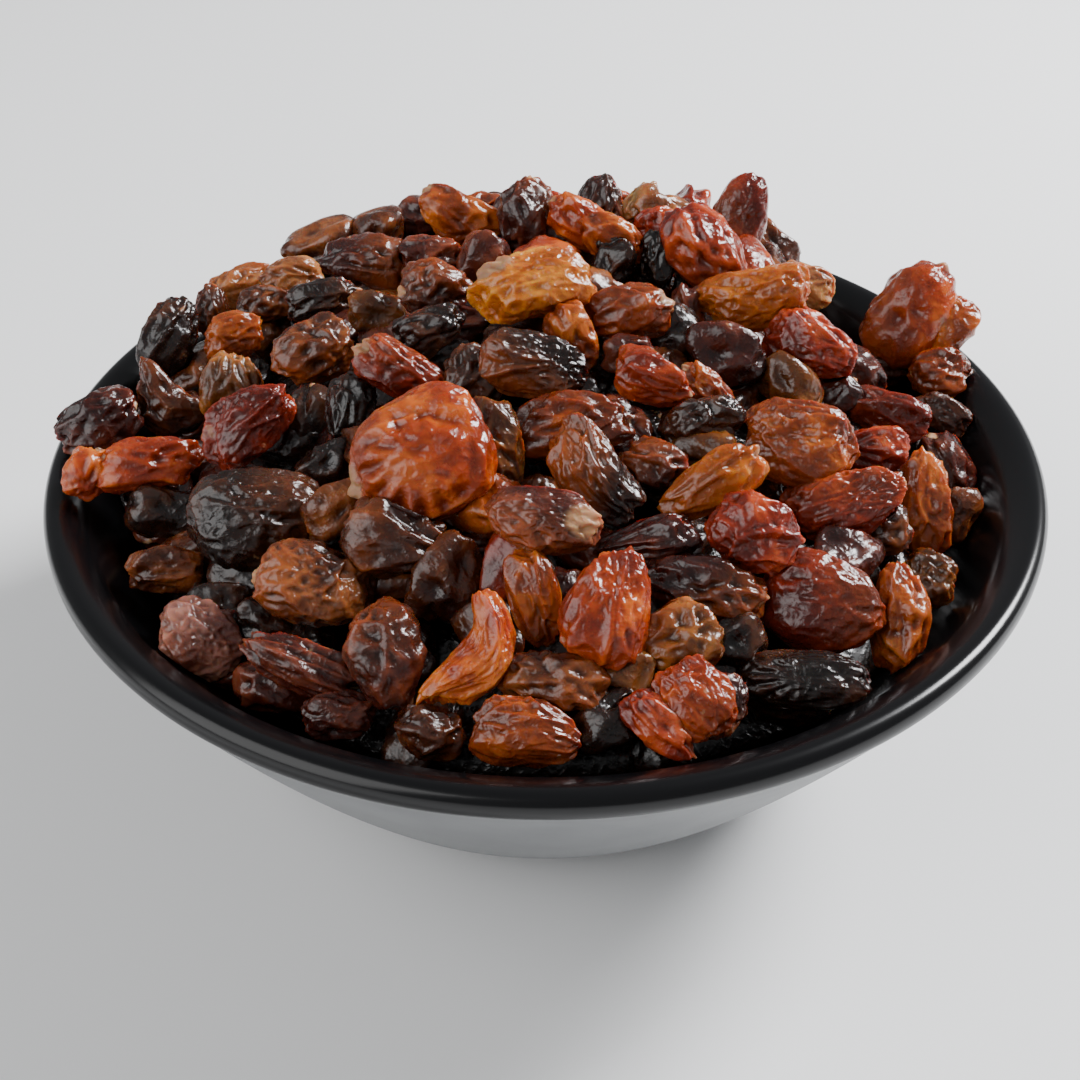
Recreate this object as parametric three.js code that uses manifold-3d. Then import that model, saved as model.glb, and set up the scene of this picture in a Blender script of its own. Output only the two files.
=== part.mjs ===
// A small round bowl, black inside and grey outside, heaped with raisins.
//
// Millimetres, +Z up. The origin is the middle of the bowl's foot, on the surface it stands on,
// and the side seen in the photograph faces -Y.
//
// The bowl is one turned solid. The raisins that lie free on top of the heap are pieces of their
// own. The others are stuck together, as sticky raisins are, in one solid that fills the bowl.

import * as THREE from "three";
import { mergeVertices } from "three/addons/utils/BufferGeometryUtils.js";
import Module from "manifold-3d";

const wasm = await Module();
wasm.setup();

// Bowl
const RIM_RADIUS = 55;
const RIM_HEIGHT = 36;
const RIM_BAND = 2.6; // height of the thicker band at the lip
const BAND_PROUD = 0.5;
const LIP_WIDTH = 3.4;
const FOOT_RADIUS = 25.5;
const FOOT_WIDTH = 3.5;
const FOOT_DEPTH = 1.4; // of the recess inside the foot ring
const FLOOR_RADIUS = 20;
const FLOOR_HEIGHT = 4.2;
const WALL_FLARE = 1 / 1.3; // the wall's bulge: 1 is a straight cone
const ROUND_SIDES = 60;

// Heap: a dome that the raisins' middles lie on, highest behind the middle
const HEAP_RISE = 14; // of its highest point above the lip
const HEAP_PEAK = [-1, 16];
const HEAP_FALL = [0.0068, 0.0047]; // per square mm, across and along
const SHOULDER = { radius: 43, fall: 0.1 };
const FAR_SIDE = { from: 30, fall: 0.02 };
const BUMPS = [
  { at: [20, 33], rise: 4.5, spread: 9 },
  { at: [38, 26], rise: -5, spread: 9 },
];
const CORE_SINK = 2.6; // how far the packed middle lies under the raisins' middles
const CORE_EDGE = { radius: 43, fall: 0.06 };
const GAP = 0.3; // between pieces that touch
const NEST_GAP = 1.15 * GAP; // measured square to a raisin's smooth outline

// Raisins
const THICKNESS = 0.82; // of a raisin's width
const FOLD_DEPTH = 0.06; // of its radius
const BLUNT = 3; // how full its ends are: 2 is an ellipse
const TAPER = 0.12;
const TOP_LIFT = 1; // a raisin lifted this far or more lies free on the heap
const LEAN_LIFT = 3.5; // of a raisin that leans on the lip, which is free too
const TOP_SHAPE = { sides: 10, rings: 4 };
const HEAP_SHAPE = { sides: 7, rings: 3 };

// The colours that the raisins dried to
const COLOURS = {
  gold: 0xb9791f,
  amber: 0x96541f,
  orange: 0x9c3f16,
  red: 0x82241a,
  plum: 0x4f1f1a,
  brown: 0x4a2b1f,
  black: 0x241915,
  olive: 0x7a6233,
  tan: 0x9a7350,
};

// Where the photograph was taken from. A raisin's place is the pixel at which its middle shows
// in the photograph, 1080 pixels wide and high.
const SIGHT = { centre: [545.5, 450.1], focal: 1974.4, distance: 4 * RIM_RADIUS, above: 34.6 };

// Each raisin that shows: its pixel, length and width in millimetres, the turn of its length in
// degrees anticlockwise as seen, how far it lies above the dome, and its colour. The ones that
// lean on the bowl's lip have their height over the lip instead. A bend makes a crescent and a
// dish a hollow face, both as a share of its width.
const SEEN = [
  // the far edge of the heap
  { at: [597, 212], long: 9, wide: 6, turn: 88, lift: 0, colour: "brown" },
  { at: [640, 204], long: 6.5, wide: 4.5, turn: 60, lift: 0, colour: "tan" },
  { at: [527, 215], long: 9.5, wide: 7.4, turn: 85, lift: 1.5, colour: "plum" },
  { at: [462, 218], long: 11.5, wide: 6.6, turn: -35, lift: 1, colour: "amber" },
  { at: [578, 225], long: 8, wide: 6, turn: -40, lift: 1, colour: "orange" },
  { at: [612, 241], long: 8.5, wide: 5.5, turn: -20, lift: 1, colour: "amber" },
  { at: [662, 214], long: 8.5, wide: 5.5, turn: -10, lift: -1, colour: "tan" },
  { at: [656, 226], long: 6, wide: 4.6, turn: 20, lift: 0, colour: "red" },
  { at: [740, 215], long: 10.5, wide: 7, turn: 75, lift: 1, colour: "red" },
  { at: [703, 250], long: 12.5, wide: 9, turn: -55, lift: 2, colour: "red" },
  { at: [654, 256], long: 7.5, wide: 5, turn: 80, lift: 0, colour: "black" },
  { at: [612, 268], long: 7, wide: 5, turn: 60, lift: -0.5, colour: "black" },
  { at: [482, 266], long: 9, wide: 6, turn: 65, lift: -1, colour: "plum" },
  { at: [365, 263], long: 11.5, wide: 6.8, turn: -5, lift: 1, colour: "plum" },
  { at: [430, 257], long: 8.5, wide: 5.5, turn: 5, lift: 0, colour: "plum" },
  { at: [240, 287], long: 9.5, wide: 6, turn: 18, lift: 1.5, colour: "tan" },
  { at: [297, 279], long: 8.5, wide: 5.5, turn: -5, lift: 0.5, colour: "tan" },
  { at: [272, 302], long: 8, wide: 5, turn: 10, lift: 0, colour: "brown" },
  { at: [236, 309], long: 6, wide: 4.6, turn: 30, lift: -1, colour: "black" },
  { at: [211, 312], long: 6.5, wide: 4.6, turn: 88, lift: 0, colour: "brown" },
  { at: [174, 337], long: 10.5, wide: 6.8, turn: 65, lift: 4, colour: "black" },
  { at: [319, 300], long: 9.5, wide: 5, turn: 8, lift: 1.5, colour: "black" },

  // behind the middle
  { at: [234, 338], long: 8, wide: 6, turn: 10, lift: 0.5, colour: "amber" },
  { at: [378, 312], long: 7, wide: 5.5, turn: 0, lift: -1, colour: "olive" },
  { at: [437, 293], long: 8.5, wide: 6.5, turn: -5, lift: 1, colour: "plum" },
  { at: [428, 331], long: 10.5, wide: 6, turn: 22, lift: 1.5, colour: "black" },
  { at: [532, 287], long: 13.8, wide: 9.8, turn: 12, lift: 3, colour: "gold" },
  { at: [630, 311], long: 10.5, wide: 7.2, turn: 10, lift: 1.5, colour: "amber" },
  { at: [575, 338], long: 8, wide: 6, turn: -50, lift: 0, colour: "amber" },
  { at: [750, 296], long: 13.5, wide: 8.2, turn: 15, lift: 3, colour: "gold" },
  { at: [800, 283], long: 7.5, wide: 6, turn: -20, lift: 0, colour: "tan" },
  { at: [685, 310], long: 7, wide: 5, turn: 80, lift: -1, colour: "plum" },
  { at: [668, 335], long: 8, wide: 6, turn: 30, lift: -1.5, colour: "black" },
  { at: [722, 358], long: 10, wide: 8, turn: 20, lift: -1, colour: "plum" },
  { at: [810, 345], long: 12, wide: 8.5, turn: -15, lift: 2.5, colour: "red" },
  { at: [787, 383], long: 8, wide: 6, turn: -30, lift: -0.5, colour: "olive" },
  { at: [835, 392], long: 6, wide: 5, turn: 40, lift: -1, colour: "plum" },
  { at: [907, 310], long: 13, wide: 9.5, turn: 60, overLip: 4, colour: "orange" },
  { at: [943, 322], long: 8.5, wide: 6.4, turn: 45, overLip: 3, colour: "amber" },
  { at: [935, 372], long: 9.5, wide: 7, turn: 10, overLip: 0, colour: "amber" },
  { at: [873, 368], long: 8, wide: 5, turn: 0, lift: -1, colour: "brown" },
  { at: [232, 388], long: 9, wide: 7, turn: 75, lift: 0.5, colour: "olive" },
  { at: [311, 350], long: 10.5, wide: 7.8, turn: 15, lift: 1, colour: "brown" },
  { at: [475, 372], long: 8, wide: 7, turn: 70, lift: 0.5, colour: "black" },
  { at: [533, 363], long: 12.5, wide: 7.5, turn: -8, lift: 2, colour: "black" },
  { at: [627, 352], long: 7, wide: 4.8, turn: 5, lift: -0.5, colour: "plum" },
  { at: [400, 366], long: 11, wide: 5.8, turn: -30, lift: 3, colour: "red" },
  { at: [652, 380], long: 10, wide: 5.8, turn: -18, lift: 2.5, colour: "orange" },
  { at: [706, 388], long: 7, wide: 4.5, turn: -40, lift: 0.5, colour: "amber" },

  // the middle
  { at: [349, 408], long: 9, wide: 5.6, turn: 80, lift: 0.5, colour: "black" },
  { at: [312, 412], long: 7, wide: 5, turn: 80, lift: -1.5, colour: "black" },
  { at: [165, 400], long: 10.5, wide: 6.5, turn: -45, lift: 1.5, colour: "brown", bend: 0.35 },
  { at: [105, 420], long: 11, wide: 6.5, turn: 18, overLip: 3, colour: "plum" },
  { at: [252, 421], long: 11.5, wide: 8.8, turn: 35, lift: 2.5, colour: "red" },
  { at: [150, 463], long: 12, wide: 6.2, turn: -3, lift: 3, colour: "orange" },
  { at: [88, 476], long: 7, wide: 5, turn: 55, overLip: 2, colour: "orange" },
  { at: [330, 466], long: 8, wide: 6, turn: 20, lift: -1.5, colour: "black" },
  { at: [420, 459], long: 15.4, wide: 14.8, turn: 20, lift: 4, colour: "orange", dish: 0.5 },
  { at: [493, 441], long: 11.5, wide: 6.5, turn: -62, lift: 1.5, colour: "olive" },
  { at: [578, 424], long: 13.5, wide: 7.5, turn: 8, lift: 0, colour: "amber" },
  { at: [600, 474], long: 13, wide: 7.2, turn: -52, lift: 1.5, colour: "black", bend: 0.2 },
  { at: [653, 467], long: 8, wide: 6, turn: -20, lift: 0.5, colour: "plum" },
  { at: [702, 450], long: 7, wide: 4.8, turn: 0, lift: -1, colour: "olive" },
  { at: [702, 418], long: 9.5, wide: 5.8, turn: 5, lift: 1, colour: "black" },
  { at: [706, 481], long: 12.5, wide: 5.8, turn: 35, lift: 3, colour: "gold" },
  { at: [797, 445], long: 12.8, wide: 9.8, turn: -5, lift: 2, colour: "amber" },
  { at: [888, 413], long: 11, wide: 6.5, turn: -8, lift: 0.5, colour: "red" },
  { at: [868, 448], long: 9, wide: 6, turn: 10, lift: 0, colour: "red" },
  { at: [945, 412], long: 8.5, wide: 5.2, turn: -25, lift: 0.5, colour: "brown" },
  { at: [955, 450], long: 7.5, wide: 5.5, turn: -70, lift: 0, colour: "black" },

  // in front of the middle
  { at: [848, 503], long: 13.5, wide: 7.8, turn: 28, lift: 2, colour: "red" },
  { at: [922, 500], long: 12, wide: 6.2, turn: -80, lift: 2, colour: "amber" },
  { at: [880, 530], long: 7, wide: 6, turn: 10, lift: 0, colour: "brown" },
  { at: [957, 515], long: 7, wide: 5, turn: 85, lift: -0.5, colour: "brown" },
  { at: [752, 535], long: 10.5, wide: 9, turn: -25, lift: 3, colour: "red" },
  { at: [251, 518], long: 15, wide: 10.5, turn: -8, lift: 1, colour: "black" },
  { at: [110, 510], long: 8, wide: 6.5, turn: 30, lift: 0, colour: "black" },
  { at: [168, 512], long: 8.5, wide: 6, turn: -20, lift: -1, colour: "black" },
  { at: [345, 510], long: 9, wide: 6, turn: 20, lift: -1, colour: "brown" },
  { at: [397, 537], long: 11.5, wide: 8.5, turn: -15, lift: 1.5, colour: "brown" },
  { at: [540, 515], long: 12.2, wide: 7, turn: -12, lift: 4, colour: "plum" },
  { at: [452, 575], long: 10.5, wide: 7, turn: 65, lift: -1, colour: "brown" },
  { at: [505, 568], long: 8.5, wide: 5.5, turn: 70, lift: -1, colour: "red" },
  { at: [537, 597], long: 11.5, wide: 5.8, turn: -75, lift: 1, colour: "amber" },
  { at: [645, 540], long: 10.5, wide: 5, turn: 15, lift: 0, colour: "plum" },
  { at: [705, 588], long: 13, wide: 6.5, turn: -8, lift: 0.5, colour: "plum" },
  { at: [823, 597], long: 13.8, wide: 10, turn: -8, lift: 1, colour: "red" },
  { at: [930, 578], long: 6.8, wide: 5.8, turn: -20, lift: 0, colour: "olive" },
  { at: [902, 620], long: 12.2, wide: 6.8, turn: -80, lift: 2, colour: "amber" },

  // the near edge
  { at: [168, 572], long: 9, wide: 5.8, turn: -8, lift: 0.5, colour: "brown" },
  { at: [308, 581], long: 14, wide: 9.4, turn: -12, lift: 2, colour: "brown" },
  { at: [607, 606], long: 13.2, wide: 9.4, turn: 82, lift: 3, colour: "orange" },
  { at: [201, 643], long: 9.6, wide: 9, turn: -15, lift: 1, colour: "brown" },
  { at: [222, 602], long: 7.5, wide: 5, turn: 0, lift: -1, colour: "black" },
  { at: [258, 626], long: 7, wide: 5, turn: -30, lift: -1.5, colour: "black" },
  { at: [310, 668], long: 13.8, wide: 5.6, turn: -28, lift: 1, colour: "plum" },
  { at: [388, 652], long: 10.8, wide: 8.2, turn: -72, lift: 1.5, colour: "plum" },
  { at: [272, 688], long: 8, wide: 5.5, turn: -10, lift: -1, colour: "plum" },
  { at: [337, 718], long: 8, wide: 5, turn: -5, lift: 0, colour: "plum" },
  { at: [435, 728], long: 7.5, wide: 6, turn: -10, lift: 0, colour: "brown" },
  { at: [472, 645], long: 14, wide: 6, turn: 62, lift: 3, colour: "orange", bend: 0.55 },
  { at: [525, 732], long: 11.5, wide: 7.4, turn: -8, lift: 1, colour: "amber" },
  { at: [553, 680], long: 11, wide: 6, turn: -12, lift: 0.5, colour: "brown" },
  { at: [605, 718], long: 8, wide: 6.5, turn: 20, lift: -0.5, colour: "black" },
  { at: [692, 700], long: 9.5, wide: 7.5, turn: -55, lift: 2.5, colour: "orange" },
  { at: [655, 722], long: 8.8, wide: 5, turn: -40, lift: 2, colour: "red" },
  { at: [728, 708], long: 7, wide: 5, turn: 80, lift: 0.5, colour: "plum" },
  { at: [675, 640], long: 10, wide: 7, turn: 20, lift: 0.5, colour: "olive" },
  { at: [636, 672], long: 7, wide: 6, turn: 40, lift: -0.5, colour: "olive" },
  { at: [733, 637], long: 7, wide: 5.5, turn: 20, lift: -0.5, colour: "black" },
  { at: [805, 679], long: 13.5, wide: 6.8, turn: 3, lift: 1, colour: "black", dish: 0.25 },
];

// The raisins that don't show, on the far side and in the gaps, by a sunflower's rule
const FILL = { count: 165, radius: 49, apart: 6.2, seed: 20, jitter: 1.2, drop: 0.4, wall: 2.2 };
const FILL_LONG = [8.5, 11.5];
const FILL_WIDE = [5.6, 7.4];
const GOLDEN_ANGLE = Math.PI * (3 - Math.sqrt(5));

const radians = THREE.MathUtils.degToRad;

// Park and Miller's random numbers, from 0 to 1
function randoms(seed) {
  let state = seed;
  return () => {
    state = (state * 16807) % 2147483647;
    return state / 2147483647;
  };
}

// Solids

function solidOf(geometry) {
  const bare = geometry.clone();
  bare.deleteAttribute("normal");
  bare.deleteAttribute("uv");
  const merged = mergeVertices(bare, 1e-4);
  return new wasm.Manifold(
    new wasm.Mesh({
      numProp: 3,
      vertProperties: merged.attributes.position.array,
      triVerts: new Uint32Array(merged.index.array),
    }),
  );
}

function geometryOf(solid) {
  const { vertProperties, triVerts } = solid.getMesh();
  const geometry = new THREE.BufferGeometry();
  geometry.setAttribute("position", new THREE.BufferAttribute(vertProperties, 3));
  geometry.setIndex(new THREE.BufferAttribute(triVerts, 1));
  const flat = geometry.toNonIndexed();
  flat.computeVertexNormals();
  return flat;
}

// A cut can leave scraps: the largest body is the piece
function largestBody(solid) {
  return solid.decompose().sort((a, b) => b.volume() - a.volume())[0];
}

function turned(profile) {
  const points = profile.map(([radius, height]) => new THREE.Vector2(radius, height));
  const geometry = new THREE.LatheGeometry(points, ROUND_SIDES);
  geometry.rotateX(Math.PI / 2); // the lathe turns about Y
  return geometry;
}

// Bowl

function outerRadius(height) {
  const share = height / (RIM_HEIGHT - RIM_BAND);
  return FOOT_RADIUS + (RIM_RADIUS - BAND_PROUD - FOOT_RADIUS) * share ** WALL_FLARE;
}

function innerRadius(height) {
  const share = (height - FLOOR_HEIGHT) / (RIM_HEIGHT - FLOOR_HEIGHT);
  return FLOOR_RADIUS + (RIM_RADIUS - LIP_WIDTH - FLOOR_RADIUS) * Math.max(share, 0) ** WALL_FLARE;
}

function steps(from, to, count, pointAt) {
  return Array.from({ length: count + 1 }, (_, i) => pointAt(from + ((to - from) * i) / count));
}

function bowlProfile() {
  const bandFoot = RIM_HEIGHT - RIM_BAND;
  const outside = steps(2, bandFoot, 5, (height) => [outerRadius(height), height]);
  const inside = steps(RIM_HEIGHT - 1, FLOOR_HEIGHT, 5, (height) => [innerRadius(height), height]);
  return [
    [0, FOOT_DEPTH],
    [FOOT_RADIUS - FOOT_WIDTH, FOOT_DEPTH],
    [FOOT_RADIUS - FOOT_WIDTH, 0],
    [FOOT_RADIUS, 0],
    ...outside,
    [RIM_RADIUS, bandFoot + 0.4],
    [RIM_RADIUS, RIM_HEIGHT - 0.9],
    [RIM_RADIUS - 0.6, RIM_HEIGHT - 0.2],
    [RIM_RADIUS - 1.4, RIM_HEIGHT],
    [RIM_RADIUS - 2.6, RIM_HEIGHT - 0.25],
    ...inside,
    [0, FLOOR_HEIGHT],
  ];
}

// The room in and over the bowl that the raisins may fill
function roomSolid() {
  const wide = RIM_RADIUS + 12;
  const inside = steps(FLOOR_HEIGHT, RIM_HEIGHT - 1, 5, (height) => [
    innerRadius(height) - GAP,
    height + GAP,
  ]);
  return solidOf(
    turned([
      [0, FLOOR_HEIGHT + GAP],
      ...inside,
      [RIM_RADIUS - 2.6, RIM_HEIGHT + GAP],
      [wide, RIM_HEIGHT + GAP],
      [wide, RIM_HEIGHT + 40],
      [0, RIM_HEIGHT + 40],
    ]),
  );
}

// Heap

function heapHeight(x, y) {
  const across = HEAP_FALL[0] * (x - HEAP_PEAK[0]) ** 2;
  const along = HEAP_FALL[1] * (y - HEAP_PEAK[1]) ** 2;
  const outward = SHOULDER.fall * Math.max(0, Math.hypot(x, y) - SHOULDER.radius) ** 2;
  const behind = FAR_SIDE.fall * Math.max(0, y - FAR_SIDE.from) ** 2;
  let height = RIM_HEIGHT + HEAP_RISE - across - along - outward - behind;
  for (const bump of BUMPS) {
    const away = Math.hypot(x - bump.at[0], y - bump.at[1]) / bump.spread;
    height += bump.rise * Math.exp(-(away ** 2) / 2);
  }
  return height;
}

function heapNormal(x, y) {
  const step = 0.5;
  const slopeX = (heapHeight(x + step, y) - heapHeight(x - step, y)) / (2 * step);
  const slopeY = (heapHeight(x, y + step) - heapHeight(x, y - step)) / (2 * step);
  return new THREE.Vector3(-slopeX, -slopeY, 1).normalize();
}

// The packed middle: everything in the room that lies under the dome
function coreSolid(room) {
  const rows = 8;
  const sectors = 30;
  const reach = RIM_RADIUS;
  const bottom = -5;
  const points = [];
  const top = (x, y) => {
    const past = Math.max(0, Math.hypot(x, y) - CORE_EDGE.radius);
    return Math.max(heapHeight(x, y) - CORE_SINK - CORE_EDGE.fall * past ** 2, bottom + 1);
  };
  points.push(0, 0, top(0, 0));
  for (let row = 1; row <= rows; row++) {
    for (let sector = 0; sector < sectors; sector++) {
      const angle = (2 * Math.PI * sector) / sectors;
      const radius = reach * Math.sqrt(row / rows);
      const [x, y] = [radius * Math.cos(angle), radius * Math.sin(angle)];
      points.push(x, y, top(x, y));
    }
  }
  const under = points.length / 3;
  for (let sector = 0; sector < sectors; sector++) {
    const angle = (2 * Math.PI * sector) / sectors;
    points.push(reach * Math.cos(angle), reach * Math.sin(angle), bottom);
  }
  const middle = points.length / 3;
  points.push(0, 0, bottom);

  const faces = [];
  const at = (row, sector) => 1 + (row - 1) * sectors + (sector % sectors);
  for (let sector = 0; sector < sectors; sector++) {
    faces.push(0, at(1, sector), at(1, sector + 1));
    for (let row = 1; row < rows; row++) {
      faces.push(at(row, sector), at(row + 1, sector), at(row + 1, sector + 1));
      faces.push(at(row, sector), at(row + 1, sector + 1), at(row, sector + 1));
    }
    const [here, next] = [under + sector, under + ((sector + 1) % sectors)];
    faces.push(at(rows, sector), here, next);
    faces.push(at(rows, sector), next, at(rows, sector + 1));
    faces.push(middle, next, here);
  }
  const geometry = new THREE.BufferGeometry();
  geometry.setAttribute("position", new THREE.Float32BufferAttribute(points, 3));
  geometry.setIndex(faces);
  return solidOf(geometry).intersect(room);
}

// Raisins

// The direction of sight through a pixel, and the directions that are across and up in the view
function sightThrough([px, py]) {
  const above = radians(SIGHT.above);
  const ahead = new THREE.Vector3(0, Math.cos(above), -Math.sin(above));
  const across = new THREE.Vector3(1, 0, 0);
  const up = new THREE.Vector3(0, Math.sin(above), Math.cos(above));
  const eye = new THREE.Vector3(0, 0, RIM_HEIGHT).addScaledVector(ahead, -SIGHT.distance);
  const towards = ahead
    .addScaledVector(across, (px - SIGHT.centre[0]) / SIGHT.focal)
    .addScaledVector(up, (SIGHT.centre[1] - py) / SIGHT.focal)
    .normalize();
  return { eye, towards };
}

// Where a line of sight first meets the dome raised by a lift, or else passes nearest over it
function meetHeap({ eye, towards }, lift) {
  const point = (distance) => eye.clone().addScaledVector(towards, distance);
  const over = (distance) => {
    const { x, y, z } = point(distance);
    return z - heapHeight(x, y) - lift;
  };
  let nearest = SIGHT.distance / 2;
  for (let distance = nearest; distance < 1.5 * SIGHT.distance; distance += 0.1) {
    if (over(distance) < over(nearest)) nearest = distance;
    if (over(nearest) <= 0) break;
  }
  return point(nearest);
}

// Where a line of sight comes down to a height
function meetHeight({ eye, towards }, height) {
  return eye.clone().addScaledVector(towards, (height - eye.z) / towards.z);
}

// A raisin that shows faces the eye, with its length turned as it looks there
function placeSeen(raisin) {
  const sight = sightThrough(raisin.at);
  const leans = raisin.overLip !== undefined;
  const centre = leans
    ? meetHeight(sight, RIM_HEIGHT + raisin.overLip)
    : meetHeap(sight, raisin.lift);
  const facing = sight.towards.clone().negate();
  const across = new THREE.Vector3(0, 0, 1).cross(facing).normalize();
  const up = facing.clone().cross(across);
  const turn = radians(raisin.turn);
  const along = across.multiplyScalar(Math.cos(turn)).addScaledVector(up, Math.sin(turn));
  return { ...raisin, centre, along, facing, lift: leans ? LEAN_LIFT : raisin.lift };
}

// The sunflower's raisins lie flat on the dome, where no raisin that shows is near
function placeFill(placed) {
  const random = randoms(FILL.seed);
  const between = ([low, high]) => low + (high - low) * random();
  const names = ["brown", "amber", "plum", "black", "orange", "brown", "red", "black"];
  const filled = [];
  for (let n = 0; n < FILL.count; n++) {
    const radius = FILL.radius * Math.sqrt((n + 0.5) / FILL.count);
    const angle = n * GOLDEN_ANGLE;
    const x = radius * Math.cos(angle) + FILL.jitter * (random() - 0.5);
    const y = radius * Math.sin(angle) + FILL.jitter * (random() - 0.5);
    const long = between(FILL_LONG);
    const wide = between(FILL_WIDE);
    const turn = Math.PI * random();
    const colour = names[Math.floor(names.length * random())];
    const centre = new THREE.Vector3(x, y, heapHeight(x, y) - FILL.drop);
    if (radius > innerRadius(centre.z) - FILL.wall) continue;
    if (placed.some((other) => other.centre.distanceTo(centre) < FILL.apart)) continue;
    const facing = heapNormal(x, y);
    const across = new THREE.Vector3(0, 1, 0).cross(facing).normalize();
    const up = facing.clone().cross(across);
    const along = across.multiplyScalar(Math.cos(turn)).addScaledVector(up, Math.sin(turn));
    filled.push({ long, wide, lift: 0, colour, centre, along, facing });
  }
  return filled;
}

// A shrivelled raisin, its skin drawn into lengthwise folds, grown all round by a margin
function raisinSolid(raisin, { sides, rings }, random, margin = 0) {
  const { bend = 0, dish = 0 } = raisin;
  const half = new THREE.Vector3(raisin.long, raisin.wide, raisin.wide * THICKNESS);
  half.multiplyScalar(0.5);
  const twist = random() * 1.2 - 0.6;
  const slant = random() * 2 - 1;
  const points = [];
  const push = (along, side, face, hollow) => {
    const outward = new THREE.Vector3(along, side, face).divide(half).setLength(margin);
    points.push(
      half.x * along + outward.x,
      half.y * side + bend * raisin.wide * (along * along - 0.5) + outward.y,
      half.z * (face - hollow) + outward.z,
    );
  };
  push(-1, 0, 0, 0);
  for (let ring = 0; ring < rings; ring++) {
    const along = -Math.cos((Math.PI * (ring + 1)) / (rings + 1));
    const swell = Math.sqrt(1 - Math.abs(along) ** BLUNT) * (1 - TAPER * slant * along);
    for (let side = 0; side < sides; side++) {
      const angle = (2 * Math.PI * side) / sides + twist * along;
      const fold = side % 2 ? 1 + FOLD_DEPTH : 1 - FOLD_DEPTH;
      const out = swell * fold * (0.96 + 0.08 * random());
      const face = Math.sin(angle);
      const hollow = dish * Math.max(face, 0) * swell;
      push(along, out * Math.cos(angle), out * face, hollow);
    }
  }
  push(1, 0, 0, 0);

  const faces = [];
  const last = points.length / 3 - 1;
  const at = (ring, side) => 1 + ring * sides + (side % sides);
  for (let side = 0; side < sides; side++) {
    faces.push(0, at(0, side + 1), at(0, side));
    for (let ring = 0; ring < rings - 1; ring++) {
      faces.push(at(ring, side), at(ring, side + 1), at(ring + 1, side + 1));
      faces.push(at(ring, side), at(ring + 1, side + 1), at(ring + 1, side));
    }
    faces.push(last, at(rings - 1, side), at(rings - 1, side + 1));
  }
  const geometry = new THREE.BufferGeometry();
  geometry.setAttribute("position", new THREE.Float32BufferAttribute(points, 3));
  geometry.setIndex(faces);
  const aside = raisin.facing.clone().cross(raisin.along);
  const frame = new THREE.Matrix4().makeBasis(raisin.along, aside, raisin.facing);
  geometry.applyMatrix4(frame.setPosition(raisin.centre));
  return solidOf(geometry);
}

// Assembly

const object = new THREE.Group();

function addPiece(name, geometry, colour, roughness) {
  const material = new THREE.MeshStandardMaterial({ color: colour, roughness, metalness: 0 });
  const mesh = new THREE.Mesh(geometry, material);
  mesh.name = name;
  object.add(mesh);
}

addPiece("bowl", turned(bowlProfile()), 0x15161a, 0.25);

const room = roomSolid();
const seen = SEEN.map(placeSeen);
const isTop = (raisin) => raisin.lift >= TOP_LIFT;
const topRaisins = seen.filter(isTop);
const heapRaisins = [...seen.filter((raisin) => !isTop(raisin)), ...placeFill(seen)];
topRaisins.forEach((raisin, index) => {
  raisin.name = `raisin_${String(index + 1).padStart(2, "0")}_${raisin.colour}`;
  raisin.seed = 100 + index;
});

// The highest raisins keep their whole shape, and each lower one is pressed in where they lie
const highestFirst = [...topRaisins].sort((a, b) => b.lift - a.lift);
const nests = [];
for (const raisin of highestFirst) {
  let solid = raisinSolid(raisin, TOP_SHAPE, randoms(raisin.seed)).intersect(room);
  for (const nest of nests) solid = solid.subtract(nest);
  addPiece(raisin.name, geometryOf(largestBody(solid)), COLOURS[raisin.colour], 0.45);
  nests.push(raisinSolid(raisin, TOP_SHAPE, randoms(raisin.seed), NEST_GAP));
}

// The heap below: the packed middle and the raisins that stand out of it, nested round the others
const bedded = heapRaisins.map((raisin, index) =>
  raisinSolid(raisin, HEAP_SHAPE, randoms(500 + index)).intersect(room),
);
const { Manifold } = wasm;
const heap = Manifold.union([coreSolid(room), ...bedded]).subtract(Manifold.union(nests));
addPiece("raisin_heap", geometryOf(largestBody(heap)), COLOURS.brown, 0.5);

export default object;
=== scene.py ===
"""A black and grey bowl heaped with raisins: the looks of every surface.

Sizes are in millimetres while the raisins are shaped, and in metres from there on. The raisins
wrinkle as real ones do: each starts as a dented, creased berry whose skin is too large for its
shrunken flesh, and a net of springs, relaxed for many of them at once, buckles it into folds.
"""

import itertools
import math

import bpy
import numpy as np
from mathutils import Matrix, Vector


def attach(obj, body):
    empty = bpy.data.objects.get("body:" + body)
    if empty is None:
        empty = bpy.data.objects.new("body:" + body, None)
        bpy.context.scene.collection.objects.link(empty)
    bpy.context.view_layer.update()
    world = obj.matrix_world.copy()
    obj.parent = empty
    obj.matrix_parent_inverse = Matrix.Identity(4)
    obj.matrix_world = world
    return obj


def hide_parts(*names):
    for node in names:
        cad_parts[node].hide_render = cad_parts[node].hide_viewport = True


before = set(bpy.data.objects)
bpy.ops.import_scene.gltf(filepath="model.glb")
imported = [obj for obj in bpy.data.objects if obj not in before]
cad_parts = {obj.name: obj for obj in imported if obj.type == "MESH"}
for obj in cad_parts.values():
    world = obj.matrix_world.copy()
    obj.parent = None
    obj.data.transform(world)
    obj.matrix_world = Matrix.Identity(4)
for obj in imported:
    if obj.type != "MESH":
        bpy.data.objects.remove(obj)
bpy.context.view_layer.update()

MM = 0.001

# Bowl, as in the frame
RIM_RADIUS = 55
RIM_HEIGHT = 36
RIM_BAND = 2.6
BAND_PROUD = 0.5
LIP_WIDTH = 3.4
FOOT_RADIUS = 25.5
FOOT_WIDTH = 3.5
FOOT_DEPTH = 1.4
FLOOR_RADIUS = 20
FLOOR_HEIGHT = 4.2
WALL_FLARE = 1 / 1.3

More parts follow.
